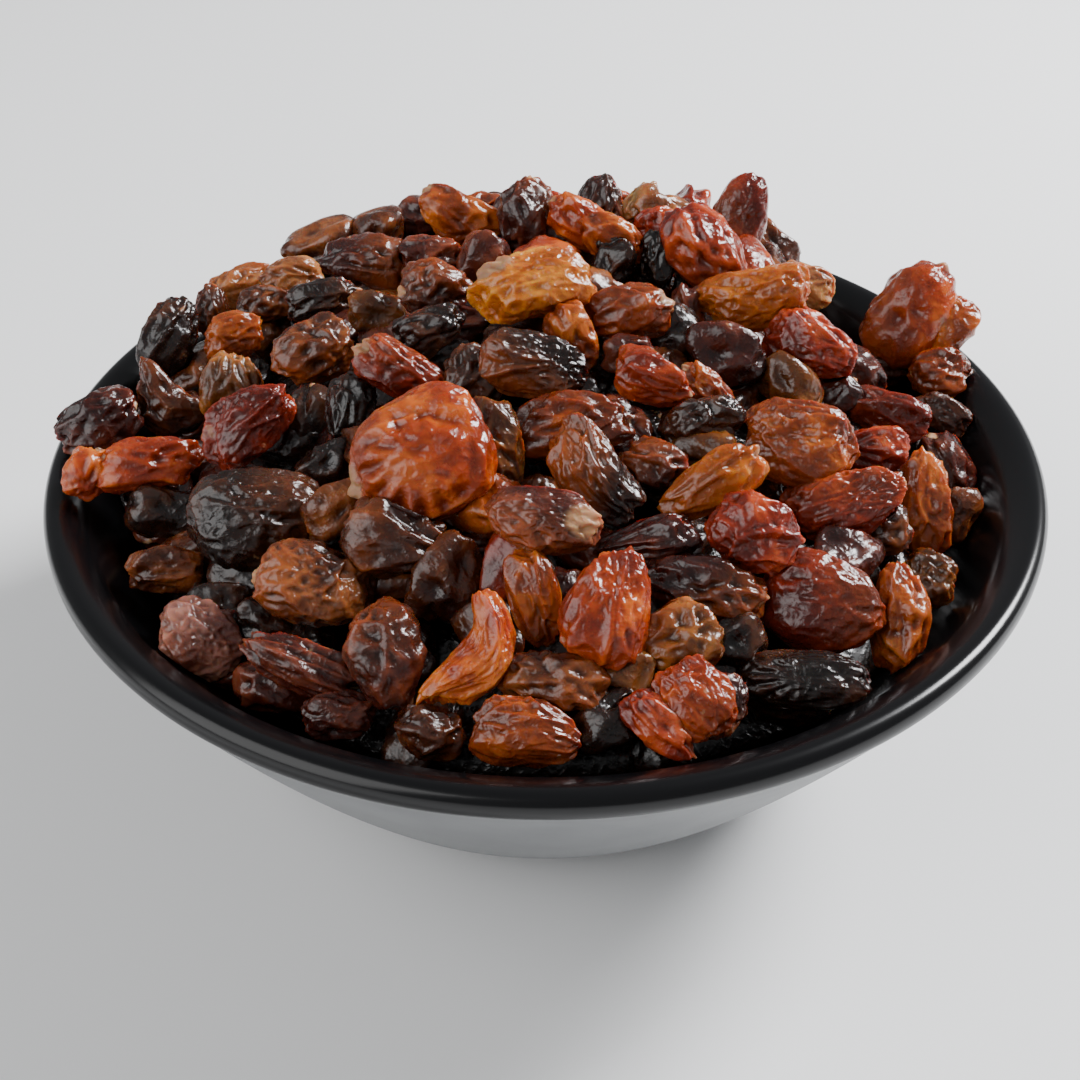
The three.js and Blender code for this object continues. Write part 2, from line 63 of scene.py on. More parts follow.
# The bowl's finer turning: the radii of its round edges, and how closely it is divided
FOOT_INNER_ROUND = 0.5
FOOT_OUTER_ROUND = 0.6
RIM_ROUND = 1.4
WALL_RINGS = 26
BOWL_SIDES = 192

# The dome that the raisins' middles lie on, as in the frame
HEAP_RISE = 14
HEAP_PEAK = (-1, 16)
HEAP_FALL = (0.0068, 0.0047)
SHOULDER = dict(radius=43, fall=0.1)
FAR_SIDE = dict(start=30, fall=0.02)
BUMPS = (
    dict(at=(20, 33), rise=4.5, spread=9),
    dict(at=(38, 26), rise=-5, spread=9),
)
# The lift from which a raisin lies free on top, and that of one that leans over the lip
TOP_LIFT = 1
LEAN_LIFT = 3.5

# A raisin's thickness over its width
THICKNESS = 0.82

# The sight lines of the photograph, and the camera that repeats it without a shifted lens
SIGHT_CENTRE = (545.5, 450.1)
SIGHT_FOCAL = 1974.4
SIGHT_DISTANCE = 4 * RIM_RADIUS
SIGHT_ABOVE = math.radians(34.6)
SIGHT_BACK = np.array([0, -math.cos(SIGHT_ABOVE), math.sin(SIGHT_ABOVE)])
CAMERA_LENS = 65.86
CAMERA_PITCH = math.radians(37.183)
CAMERA_YAW = math.radians(0.196)

# Each raisin that shows, placed as in the frame: the pixel of its middle, its length and width,
# the turn of its length as seen, its lift over the dome or height over the lip, and its colour.
# The rest is for those that the photograph shows well:
#   fine: it has the most detail; skin: another skin than its colour's
#   tone: how light it is; warm, warmth: the side that is warmer in colour, as an angle, and how much
#   stem, stem_at: the size of the dry nub where the stalk was, and the way it faces
#   bend: how far the middle is bent aside; ribbed: how much longer than wide its creases are
#   creased, folds: how deep its creases are and how much it folds, 1 being usual
#   dish: how far the seen side is hollowed
SEEN = [
    # the far edge of the heap
    dict(at=(597, 212), long=9, wide=6, turn=88, lift=0, colour="brown"),
    dict(at=(640, 204), long=6.5, wide=4.5, turn=60, lift=0, colour="tan"),
    dict(at=(527, 215), long=9.5, wide=7.4, turn=85, lift=1.5, colour="plum"),
    dict(at=(462, 218), long=11.5, wide=6.6, turn=-35, lift=1, colour="amber", stem=1,
         stem_at=(-1, 0, 0)),
    dict(at=(578, 225), long=8, wide=6, turn=-40, lift=1, colour="orange"),
    dict(at=(612, 241), long=8.5, wide=5.5, turn=-20, lift=1, colour="amber"),
    dict(at=(662, 214), long=8.5, wide=5.5, turn=-10, lift=-1, colour="tan"),
    dict(at=(656, 226), long=6, wide=4.6, turn=20, lift=0, colour="red"),
    dict(at=(740, 215), long=10.5, wide=7, turn=75, lift=1, colour="red", warm=200, warmth=0.7,
         creased=0.5, stem=0),
    dict(at=(703, 250), long=12.5, wide=9, turn=-55, lift=2, colour="red", creased=0.7, tone=0.9),
    dict(at=(654, 256), long=7.5, wide=5, turn=80, lift=0, colour="black"),
    dict(at=(612, 268), long=7, wide=5, turn=60, lift=-0.5, colour="black"),
    dict(at=(482, 266), long=9, wide=6, turn=65, lift=-1, colour="plum"),
    dict(at=(365, 263), long=11.5, wide=6.8, turn=-5, lift=1, colour="plum"),
    dict(at=(430, 257), long=8.5, wide=5.5, turn=5, lift=0, colour="plum"),
    dict(at=(240, 287), long=9.5, wide=6, turn=18, lift=1.5, colour="tan"),
    dict(at=(297, 279), long=8.5, wide=5.5, turn=-5, lift=0.5, colour="tan"),
    dict(at=(272, 302), long=8, wide=5, turn=10, lift=0, colour="brown"),
    dict(at=(236, 309), long=6, wide=4.6, turn=30, lift=-1, colour="black"),
    dict(at=(211, 312), long=6.5, wide=4.6, turn=88, lift=0, colour="brown"),
    dict(at=(174, 337), long=10.5, wide=6.8, turn=65, lift=4, colour="black"),
    dict(at=(319, 300), long=9.5, wide=5, turn=8, lift=1.5, colour="black"),

    # behind the middle
    dict(at=(234, 338), long=8, wide=6, turn=10, lift=0.5, colour="amber"),
    dict(at=(378, 312), long=7, wide=5.5, turn=0, lift=-1, colour="olive"),
    dict(at=(437, 293), long=8.5, wide=6.5, turn=-5, lift=1, colour="plum"),
    dict(at=(428, 331), long=10.5, wide=6, turn=22, lift=1.5, colour="black"),
    dict(at=(532, 287), fine=True, long=13.8, wide=9.8, turn=12, lift=3, colour="gold",
         stem_at=(-0.55, 0.75, 0.35), tone=0.9, stem=0.9),
    dict(at=(630, 311), long=10.5, wide=7.2, turn=10, lift=1.5, colour="amber", stem=1,
         stem_at=(1, 0.2, 0)),
    dict(at=(575, 338), long=8, wide=6, turn=-50, lift=0, colour="amber"),
    dict(at=(750, 296), fine=True, long=13.5, wide=8.2, turn=15, lift=3, colour="gold"),
    dict(at=(800, 283), long=7.5, wide=6, turn=-20, lift=0, colour="tan"),
    dict(at=(685, 310), long=7, wide=5, turn=80, lift=-1, colour="plum"),
    dict(at=(668, 335), long=8, wide=6, turn=30, lift=-1.5, colour="black"),
    dict(at=(722, 358), long=10, wide=8, turn=20, lift=-1, colour="plum"),
    dict(at=(810, 345), fine=True, long=12, wide=8.5, turn=-15, lift=2.5, colour="red"),
    dict(at=(787, 383), long=8, wide=6, turn=-30, lift=-0.5, colour="olive"),
    dict(at=(835, 392), long=6, wide=5, turn=40, lift=-1, colour="plum"),
    dict(at=(907, 310), long=13, wide=9.5, turn=60, over_lip=4, colour="orange", creased=0.45,
         tone=0.2, warm=180, warmth=0.8),
    dict(at=(943, 322), long=8.5, wide=6.4, turn=45, over_lip=3, colour="amber", creased=0.6,
         stem=0),
    dict(at=(935, 372), long=9.5, wide=7, turn=10, over_lip=0, colour="amber"),
    dict(at=(873, 368), long=8, wide=5, turn=0, lift=-1, colour="brown"),
    dict(at=(232, 388), long=9, wide=7, turn=75, lift=0.5, colour="olive"),
    dict(at=(311, 350), long=10.5, wide=7.8, turn=15, lift=1, colour="brown", warm=270, warmth=0.8),
    dict(at=(475, 372), long=8, wide=7, turn=70, lift=0.5, colour="black"),
    dict(at=(533, 363), fine=True, long=12.5, wide=7.5, turn=-8, lift=2, colour="black"),
    dict(at=(627, 352), long=7, wide=4.8, turn=5, lift=-0.5, colour="plum"),
    dict(at=(400, 366), long=11, wide=5.8, turn=-30, lift=3, colour="red", stem=1,
         stem_at=(-1, 0, 0.2)),
    dict(at=(652, 380), long=10, wide=5.8, turn=-18, lift=2.5, colour="orange"),
    dict(at=(706, 388), long=7, wide=4.5, turn=-40, lift=0.5, colour="amber"),

    # the middle
    dict(at=(349, 408), long=9, wide=5.6, turn=80, lift=0.5, colour="black"),
    dict(at=(312, 412), long=7, wide=5, turn=80, lift=-1.5, colour="black"),
    dict(at=(165, 400), long=10.5, wide=6.5, turn=-45, lift=1.5, colour="brown", bend=0.35),
    dict(at=(105, 420), long=11, wide=6.5, turn=18, over_lip=3, colour="plum"),
    dict(at=(252, 421), fine=True, long=11.5, wide=8.8, turn=35, lift=2.5, colour="red"),
    dict(at=(150, 463), long=12, wide=6.2, turn=-3, lift=3, colour="orange", stem=0.8,
         stem_at=(-1, 0.3, 0)),
    dict(at=(88, 476), long=7, wide=5, turn=55, over_lip=2, colour="orange"),
    dict(at=(330, 466), long=8, wide=6, turn=20, lift=-1.5, colour="black"),
    dict(at=(420, 459), fine=True, long=15.4, wide=14.8, turn=20, lift=4, colour="orange", tone=0.8,
         warm=200, warmth=0.6, stem=0.6, stem_at=(-1, 0, 0), dish=0.3, creased=0.4, folds=1.3),
    dict(at=(493, 441), long=11.5, wide=6.5, turn=-62, lift=1.5, colour="olive"),
    dict(at=(578, 424), long=13.5, wide=7.5, turn=8, lift=0, colour="amber"),
    dict(at=(600, 474), fine=True, long=13, wide=7.2, turn=-52, lift=1.5, colour="black", bend=0.2,
         ribbed=1.6, warm=170, warmth=0.8),
    dict(at=(653, 467), long=8, wide=6, turn=-20, lift=0.5, colour="plum"),
    dict(at=(702, 450), long=7, wide=4.8, turn=0, lift=-1, colour="olive"),
    dict(at=(702, 418), long=9.5, wide=5.8, turn=5, lift=1, colour="black"),
    dict(at=(706, 481), long=12.5, wide=5.8, turn=35, lift=3, colour="gold"),
    dict(at=(797, 445), fine=True, long=12.8, wide=9.8, turn=-5, lift=2, colour="amber", tone=0.7,
         creased=0.9, warm=200, warmth=0.7),
    dict(at=(888, 413), long=11, wide=6.5, turn=-8, lift=0.5, colour="red"),
    dict(at=(868, 448), long=9, wide=6, turn=10, lift=0, colour="red"),
    dict(at=(945, 412), long=8.5, wide=5.2, turn=-25, lift=0.5, colour="brown"),
    dict(at=(955, 450), long=7.5, wide=5.5, turn=-70, lift=0, colour="black"),

    # in front of the middle
    dict(at=(848, 503), fine=True, long=13.5, wide=7.8, turn=28, lift=2, colour="red", tone=0.8),
    dict(at=(922, 500), long=12, wide=6.2, turn=-80, lift=2, colour="amber"),
    dict(at=(880, 530), long=7, wide=6, turn=10, lift=0, colour="brown"),
    dict(at=(957, 515), long=7, wide=5, turn=85, lift=-0.5, colour="brown"),
    dict(at=(752, 535), fine=True, long=10.5, wide=9, turn=-25, lift=3, colour="red", tone=0.7,
         stem=0),
    dict(at=(251, 518), fine=True, long=15, wide=10.5, turn=-8, lift=1, colour="black",
         creased=0.7),
    dict(at=(110, 510), long=8, wide=6.5, turn=30, lift=0, colour="black"),
    dict(at=(168, 512), long=8.5, wide=6, turn=-20, lift=-1, colour="black"),
    dict(at=(345, 510), long=9, wide=6, turn=20, lift=-1, colour="brown"),
    dict(at=(397, 537), long=11.5, wide=8.5, turn=-15, lift=1.5, colour="brown"),
    dict(at=(540, 515), fine=True, long=12.2, wide=7, turn=-12, lift=4, colour="plum",
         stem_at=(0.8, 0.1, 0.6), stem=1.1, tone=1),
    dict(at=(452, 575), long=10.5, wide=7, turn=65, lift=-1, colour="brown"),
    dict(at=(505, 568), long=8.5, wide=5.5, turn=70, lift=-1, colour="red"),
    dict(at=(537, 597), long=11.5, wide=5.8, turn=-75, lift=1, colour="amber", ribbed=3),
    dict(at=(645, 540), long=10.5, wide=5, turn=15, lift=0, colour="plum", ribbed=3),
    dict(at=(705, 588), long=13, wide=6.5, turn=-8, lift=0.5, colour="plum"),
    dict(at=(823, 597), fine=True, long=13.8, wide=10, turn=-8, lift=1, colour="red", creased=0.6,
         stem=0, tone=-0.3, warm=10, warmth=0.35),
    dict(at=(930, 578), long=6.8, wide=5.8, turn=-20, lift=0, colour="olive"),
    dict(at=(902, 620), long=12.2, wide=6.8, turn=-80, lift=2, colour="amber"),

    # the near edge
    dict(at=(168, 572), long=9, wide=5.8, turn=-8, lift=0.5, colour="brown"),
    dict(at=(308, 581), fine=True, long=14, wide=9.4, turn=-12, lift=2, colour="brown", warm=180,
         warmth=0.5, stem=0.6, stem_at=(-1, 0, 0.2), tone=1.2),
    dict(at=(607, 606), fine=True, long=13.2, wide=9.4, turn=82, lift=3, colour="orange", tone=0.6),
    dict(at=(201, 643), fine=True, long=9.6, wide=9, turn=-15, lift=1, colour="brown", warm=230,
         warmth=0.3, tone=0.7, skin="mauve"),
    dict(at=(222, 602), long=7.5, wide=5, turn=0, lift=-1, colour="black"),
    dict(at=(258, 626), long=7, wide=5, turn=-30, lift=-1.5, colour="black"),
    dict(at=(310, 668), long=13.8, wide=5.6, turn=-28, lift=1, colour="plum", ribbed=2.5),
    dict(at=(388, 652), long=10.8, wide=8.2, turn=-72, lift=1.5, colour="plum", warm=120,
         warmth=0.3, creased=0.8),
    dict(at=(272, 688), long=8, wide=5.5, turn=-10, lift=-1, colour="plum"),
    dict(at=(337, 718), long=8, wide=5, turn=-5, lift=0, colour="plum"),
    dict(at=(435, 728), long=7.5, wide=6, turn=-10, lift=0, colour="brown"),
    dict(at=(472, 645), fine=True, long=14, wide=6, turn=62, lift=3, colour="orange", bend=0.55,
         stem=0, tone=1.9, creased=1.2),
    dict(at=(525, 732), fine=True, long=11.5, wide=7.4, turn=-8, lift=1, colour="amber"),
    dict(at=(553, 680), long=11, wide=6, turn=-12, lift=0.5, colour="brown"),
    dict(at=(605, 718), long=8, wide=6.5, turn=20, lift=-0.5, colour="black"),
    dict(at=(692, 700), fine=True, long=9.5, wide=7.5, turn=-55, lift=2.5, colour="orange"),
    dict(at=(655, 722), long=8.8, wide=5, turn=-40, lift=2, colour="red"),
    dict(at=(728, 708), long=7, wide=5, turn=80, lift=0.5, colour="plum"),
    dict(at=(675, 640), long=10, wide=7, turn=20, lift=0.5, colour="olive"),
    dict(at=(636, 672), long=7, wide=6, turn=40, lift=-0.5, colour="olive"),
    dict(at=(733, 637), long=7, wide=5.5, turn=20, lift=-0.5, colour="black"),
    dict(at=(805, 679), fine=True, long=13.5, wide=6.8, turn=3, lift=1, colour="black", dish=0.25,
         creased=0.5),
]

# The raisins by the sunflower's rule, as in the frame
FILL = dict(count=165, radius=49, apart=6.2, seed=20, jitter=1.2, drop=0.4, wall=2.2)
FILL_LONG = (8.5, 11.5)
FILL_WIDE = (5.6, 7.4)
FILL_COLOURS = ("brown", "amber", "plum", "black", "orange", "brown", "red", "plum")
# Skins of the second layer: only dark ones, as painted shade in the gaps
DARK_COLOURS = ("brown", "plum", "black", "black")
GOLDEN_ANGLE = math.pi * (3 - math.sqrt(5))

# A second layer of them shows in the gaps, given only dark skins as painted shade
BELOW = dict(count=110, radius=47, seed=77, jitter=1.5, drop=4.4, wall=3.5, apart=0)

# A raisin's base shape: a rounded block, with shares of its radius for its taper, lumps and dents
BLUNTNESS = 2.5
TAPER = 0.22
LUMPS = dict(deep=0.08, count=6, pitch=2.4)
DENTS = dict(count=5, deep=(0.05, 0.26), spread=(0.25, 0.6))
NUB_PROUD = 0.13

# Ridges with hollows between them: how many cells, how much longer than wide they are, how deep
# they are as a share of the radius, and the first level of the net that can hold them
CREASES = ((9, 1.0, 0.17, 3), (32, 1.1, 0.085, 3), (120, 1.1, 0.036, 4), (450, 1.1, 0.011, 5))

# Levels of the net of springs: 642, 2562 and 10242 corners. A raisin that lies at PLAIN_LIFT or
# lower keeps the first.
FIRST_LEVEL = 3
PLAIN_LEVEL = 4
FINE_LEVEL = 5
PLAIN_LIFT = -0.5

# At each level, how much the skin outgrows the flesh along a raisin and round it, how long the
# springs are left to settle, how stiffly the skin bends and how firmly the flesh holds it
SKIN_GROWTH = {
    3: dict(long=0.22, round=0.26, steps=70, bend=0.25, core=0.02),
    4: dict(long=0.2, round=0.23, steps=50, bend=0.25, core=0.02),
    5: dict(long=0.15, round=0.18, steps=40, bend=0.25, core=0.02),
}
SPRING = 0.11
KEPT_SPEED = 0.8

# The gap kept between the raisins and the glaze, and how far from a raisin's middle the ones
# below it are kept, as a share of its size
BOWL_GAP = 0.35
HARD_SHARE = 0.47

# The sheet under the raisins, in the darkest black as painted shade: how deep it lies under the
# dome, its reach and its divisions
CORE = dict(depth=6, radius=50, rings=21, sides=96)

# Colours of the skin: its darkest, for blotches and as painted shade in creases, over the flesh, and
# a painted glow as of light coming through; and the share of the light that passes clear through it
SKINS = {
    "gold": dict(
        deep=(0.32, 0.068, 0.003), flesh=(0.66, 0.178, 0.009), glow=(0.9, 0.36, 0.038), clear=0.3,
    ),
    "amber": dict(
        deep=(0.12, 0.018, 0.003), flesh=(0.4, 0.069, 0.006), glow=(0.65, 0.178, 0.019), clear=0.28,
    ),
    "orange": dict(
        deep=(0.2, 0.018, 0.003), flesh=(0.52, 0.068, 0.006), glow=(0.78, 0.186, 0.019), clear=0.28,
    ),
    "red": dict(
        deep=(0.09, 0.007, 0.002), flesh=(0.34, 0.028, 0.006), glow=(0.58, 0.1, 0.022), clear=0.2,
    ),
    "plum": dict(
        deep=(0.018, 0.0035, 0.0025), flesh=(0.08, 0.013, 0.006), glow=(0.2, 0.05, 0.022), clear=0,
    ),
    "mauve": dict(
        deep=(0.07, 0.018, 0.013), flesh=(0.22, 0.08, 0.055), glow=(0.46, 0.22, 0.17), clear=0,
    ),
    "brown": dict(
        deep=(0.025, 0.006, 0.003), flesh=(0.105, 0.024, 0.006), glow=(0.26, 0.08, 0.021), clear=0,
    ),
    "black": dict(
        deep=(0.006, 0.003, 0.002), flesh=(0.022, 0.007, 0.004), glow=(0.07, 0.023, 0.01), clear=0,
    ),
    "olive": dict(
        deep=(0.055, 0.015, 0.003), flesh=(0.17, 0.052, 0.01), glow=(0.33, 0.13, 0.028), clear=0,
    ),
    "tan": dict(
        deep=(0.12, 0.036, 0.011), flesh=(0.36, 0.118, 0.032), glow=(0.6, 0.27, 0.096), clear=0.2,
    ),
}

# Colours of a raisin's warmer side, and of its dry nub and specks
WARM_SKIN = (0.34, 0.075, 0.012)
DRY_SKIN = (0.44, 0.23, 0.11)

# How far light spreads in the flesh, in millimetres, and the shares of that for its three colours
FLESH_SPREAD = 1.8
FLESH_SHARES = (1.0, 0.22, 0.06)

BLACK_GLAZE = (0.0025, 0.0025, 0.003)
GREY_GLAZE = ((0.14, 0.145, 0.15), (0.19, 0.195, 0.2))
GREY_SPECK = (0.08, 0.08, 0.085)
FLOOR_COLOURS = ((0.87, 0.87, 0.87), (0.9, 0.9, 0.9))

# The stage, in metres and watts
FLOOR_REACH = 3
LAMP_TARGET = (0, 0, 0.03)
LAMPS = {
    "window": dict(place=(0.38, 0.2, 0.38), size=0.19, power=7, colour=(0.97, 0.98, 1)),
    "wall": dict(place=(-0.5, -0.3, 0.4), size=0.7, power=4.5, colour=(1, 1, 1)),
}
ROOM_COLOUR = (0.95, 0.97, 1, 1)
ROOM_STRENGTH = 0.32


# The bowl's and the heap's surfaces


def outer_radius(height):
    """The outside of the wall, which flares less and less towards the rim."""
    share = max(height, 0) / (RIM_HEIGHT - RIM_BAND)
    return FOOT_RADIUS + (RIM_RADIUS - BAND_PROUD - FOOT_RADIUS) * share**WALL_FLARE


def inner_radius(height):
    share = np.clip((height - FLOOR_HEIGHT) / (RIM_HEIGHT - FLOOR_HEIGHT), 0, 1)
    return FLOOR_RADIUS + (RIM_RADIUS - LIP_WIDTH - FLOOR_RADIUS) * share**WALL_FLARE


def heap_height(x, y):
    across = HEAP_FALL[0] * (x - HEAP_PEAK[0]) ** 2
    along = HEAP_FALL[1] * (y - HEAP_PEAK[1]) ** 2
    outward = SHOULDER["fall"] * np.maximum(0, np.hypot(x, y) - SHOULDER["radius"]) ** 2
    behind = FAR_SIDE["fall"] * np.maximum(0, y - FAR_SIDE["start"]) ** 2
    height = RIM_HEIGHT + HEAP_RISE - across - along - outward - behind
    for bump in BUMPS:
        away = np.hypot(x - bump["at"][0], y - bump["at"][1]) / bump["spread"]
        height = height + bump["rise"] * np.exp(-(away**2) / 2)
    return height


def heap_normal(x, y):
    step = 0.5
    slope_x = (heap_height(x + step, y) - heap_height(x - step, y)) / (2 * step)
    slope_y = (heap_height(x, y + step) - heap_height(x, y - step)) / (2 * step)
    return unit(np.array([-slope_x, -slope_y, 1.0]))


def unit(vector):
    return vector / np.linalg.norm(vector)


# Where the raisins lie


def sight_through(pixel):
    """The eye and the direction of sight through a pixel of the photograph."""
    ahead = np.array([0, math.cos(SIGHT_ABOVE), -math.sin(SIGHT_ABOVE)])
    across = np.array([1.0, 0, 0])
    up = np.array([0, math.sin(SIGHT_ABOVE), math.cos(SIGHT_ABOVE)])
    eye = np.array([0, 0, RIM_HEIGHT]) - ahead * SIGHT_DISTANCE
    right = (pixel[0] - SIGHT_CENTRE[0]) / SIGHT_FOCAL
    above = (SIGHT_CENTRE[1] - pixel[1]) / SIGHT_FOCAL
    return eye, unit(ahead + right * across + above * up)


def meet_heap(eye, towards, lift):
    """Where a line of sight first meets the lifted dome, or else passes nearest over it."""
    distance = np.arange(SIGHT_DISTANCE / 2, 1.5 * SIGHT_DISTANCE, 0.1)
    points = eye + towards * distance[:, None]
    over = points[:, 2] - heap_height(points[:, 0], points[:, 1]) - lift
    below = np.flatnonzero(over <= 0)
    return points[below[0] if len(below) else np.argmin(over)]


def meet_height(eye, towards, height):
    """Where a line of sight comes down to a height."""
    return eye + towards * (height - eye[2]) / towards[2]


def turned_frame(facing, side, turn):
    """Axes along a raisin, aside and outwards, its length turned from the one across the view."""
    across = unit(np.cross(side, facing))
    up = np.cross(facing, across)
    along = across * math.cos(turn) + up * math.sin(turn)
    return np.stack([along, np.cross(facing, along), facing], axis=1)


def place_seen():
    """The raisins that show, with the frame's node for each that lies free on top."""
    raisins = []
    tops = 0
    for index, seen in enumerate(SEEN):
        eye, towards = sight_through(seen["at"])
        leans = "over_lip" in seen
        if leans:
            centre = meet_height(eye, towards, RIM_HEIGHT + seen["over_lip"])
        else:
            centre = meet_heap(eye, towards, seen["lift"])
        axes = turned_frame(-towards, np.array([0, 0, 1.0]), math.radians(seen["turn"]))
        lift = LEAN_LIFT if leans else seen["lift"]
        raisin = dict(seen, centre=centre, axes=axes, lift=lift, seed=100 + index)
        if lift >= TOP_LIFT:
            tops += 1
            raisin["node"] = f"raisin_{tops:02d}_{seen['colour']}"
        raisins.append(raisin)
    return raisins


def chances(seed):
    """Park and Miller's random numbers, from 0 to 1, as in the frame."""
    state = seed
    while True:
        state = state * 16807 % 2147483647
        yield state / 2147483647


def place_by_rule(rule, placed, colours):
    """Raisins spread evenly over the dome, where none that shows is near."""
    chance = chances(rule["seed"])
    raisins = []
    for n in range(rule["count"]):
        radius = rule["radius"] * math.sqrt((n + 0.5) / rule["count"])
        angle = n * GOLDEN_ANGLE
        x = radius * math.cos(angle) + rule["jitter"] * (next(chance) - 0.5)
        y = radius * math.sin(angle) + rule["jitter"] * (next(chance) - 0.5)
        long = FILL_LONG[0] + (FILL_LONG[1] - FILL_LONG[0]) * next(chance)
        wide = FILL_WIDE[0] + (FILL_WIDE[1] - FILL_WIDE[0]) * next(chance)
        turn = math.pi * next(chance)
        colour = colours[int(len(colours) * next(chance))]
        centre = np.array([x, y, heap_height(x, y) - rule["drop"]])
        if radius > inner_radius(centre[2]) - rule["wall"]:
            continue
        if any(np.linalg.norm(other["centre"] - centre) < rule["apart"] for other in placed):
            continue
        axes = turned_frame(heap_normal(x, y), np.array([0, 1.0, 0]), turn)
        raisins.append(
            dict(
                centre=centre, axes=axes, long=long, wide=wide, colour=colour,
                lift=-rule["drop"], seed=rule["seed"] * 100 + n,
            )
        )
    return raisins


# The net of springs


class Net:
    """A unit sphere of even triangles. Each level keeps the corners of the one before."""

    def __init__(self, level):
        golden = (1 + math.sqrt(5)) / 2
        corners = []
        for a in (-1, 1):
            for b in (-golden, golden):
                corners += [(a, b, 0), (0, a, b), (b, 0, a)]
        points = np.array(corners, float)
        self.faces = self.hull_faces(points)
        self.points = points / np.linalg.norm(points, axis=1, keepdims=True)
        self.edges = None
        for _ in range(level):
            self.split()
        self.near, self.five = self.neighbours()

    @staticmethod
    def hull_faces(points):
        """The twenty faces join corners that are two apart, wound to face out."""
        close = np.isclose(np.linalg.norm(points[:, None] - points[None], axis=2), 2)
        faces = []
        for a, b, c in itertools.combinations(range(len(points)), 3):
            if close[a, b] and close[b, c] and close[a, c]:
                out = np.cross(points[b] - points[a], points[c] - points[a])
                faces.append((a, b, c) if out @ points[a] > 0 else (a, c, b))
        return np.array(faces)

    def split(self):
        """Cuts each face in four, and keeps the edges that the new corners halve."""
        ends = np.sort(self.faces[:, [0, 1, 1, 2, 2, 0]].reshape(-1, 2), axis=1)
        self.edges, where = np.unique(ends, axis=0, return_inverse=True)
        where = where.reshape(-1, 3) + len(self.points)
        middles = self.points[self.edges].mean(axis=1)
        middles /= np.linalg.norm(middles, axis=1, keepdims=True)
        a, b, c = self.faces.T
        ab, bc, ca = where.T
        quarters = ((a, ab, ca), (b, bc, ab), (c, ca, bc), (ab, bc, ca))
        self.faces = np.concatenate([np.stack(quarter, axis=1) for quarter in quarters])
        self.points = np.concatenate([self.points, middles])

    def neighbours(self):
        """The six corners next to each. The twelve with five list themselves as the sixth."""
        ends = np.unique(np.sort(self.faces[:, [0, 1, 1, 2, 2, 0]].reshape(-1, 2), axis=1), axis=0)
        both = np.concatenate([ends, ends[:, ::-1]])
        both = both[np.argsort(both[:, 0], kind="stable")]
        count = len(self.points)
        degree = np.bincount(both[:, 0], minlength=count)
        start = np.cumsum(degree) - degree
        near = np.empty((count, 6), int)
        for k in range(6):
            near[:, k] = both[np.minimum(start + k, len(both) - 1), 1]
        five = degree == 5
        near[five, 5] = np.flatnonzero(five)
        return near, five

    def mean_near(self, values):
        """The mean of each corner's neighbours, for each shape."""
        total = values[:, self.near].sum(axis=2)
        return np.where(self.five[None, :, None], (total - values) / 5, total / 6)

    def normals(self, shapes):
        """The outward direction at each corner of each shape, from the ring of corners round it."""
        a, b, c = (shapes[:, self.faces[:, k]] for k in range(3))
        facing = np.cross(b - a, c - a)
        count = len(self.points)
        out = np.zeros_like(shapes)
        for shape, face in zip(out, facing):
            for axis in range(3):
                for k in range(3):
                    shape[:, axis] += np.bincount(self.faces[:, k], face[:, axis], count)
        return out / np.linalg.norm(out, axis=-1, keepdims=True)


def waves(points, random, count, pitch):
    """Smooth noise on the unit sphere."""
    directions = random.normal(size=(count, 3))
    directions *= pitch / np.linalg.norm(directions, axis=1, keepdims=True)
    directions *= random.uniform(0.6, 1.4, (count, 1))
    phases = random.uniform(0, 2 * math.pi, count)
    return np.sin(points @ directions.T + phases).sum(axis=1) / math.sqrt(count / 2)


def own_waves(points, raisins, offset, count, pitch):
    """Smooth noise for each raisin, from its own seed and an offset."""
    return np.stack([
        waves(points, np.random.default_rng(raisin["seed"] + offset), count, pitch)
        for raisin in raisins
    ])


def ridges(points, random, count, long):
    """Ridges between cells scattered on the unit sphere: near 0 along them, higher in the cells."""
    stretch = np.array([1 / long, 1, 1])
    wobble = np.stack([waves(points, random, count=8, pitch=4.0) for _ in range(3)], axis=1)
    centres = random.normal(size=(count, 3))
    centres /= np.linalg.norm(centres, axis=1, keepdims=True)
    spacing = math.sqrt(4 * math.pi / count / long)
    from_points = (points + 0.16 * spacing * wobble) * stretch
    apart = np.linalg.norm(from_points[:, None] - (centres * stretch)[None], axis=2)
    nearest = np.partition(apart, 1, axis=1)
    inward = np.clip((nearest[:, 1] - nearest[:, 0]) / (0.75 * spacing), 0, 1)
    return np.sqrt((inward * (2 - inward)) ** 2 + 0.05) - 0.22


def stem_end(points, raisin):
    """The dry nub where the stalk was: 1 in the middle of it."""
    size = raisin["stem"]
    if size == 0:
        return np.zeros(len(points))
    near = points @ unit(np.array(raisin["stem_at"], float))
    return np.exp((near - 1) / (0.055 * size)) * min(size * 1.5, 1)


def hollowed(x, y, z):
    """A hollow in the seen side of a unit raisin, grooved on its right and pleated on its left."""
    out = np.hypot(x, y)
    right = 1 / (1 + np.exp(-5 * x))
    groove = np.exp(-(((out - 0.76) / 0.13) ** 2)) * right
    pleats = np.exp(-(((out - 0.75) / 0.22) ** 2)) * (1 - right)
    pleats *= np.sin(12 * np.arctan2(y, x) + 3 * x)
    return np.where(z > 0, 0.5 * np.sqrt(np.abs(z)) + 0.3 * groove + 0.2 * pleats, 0)


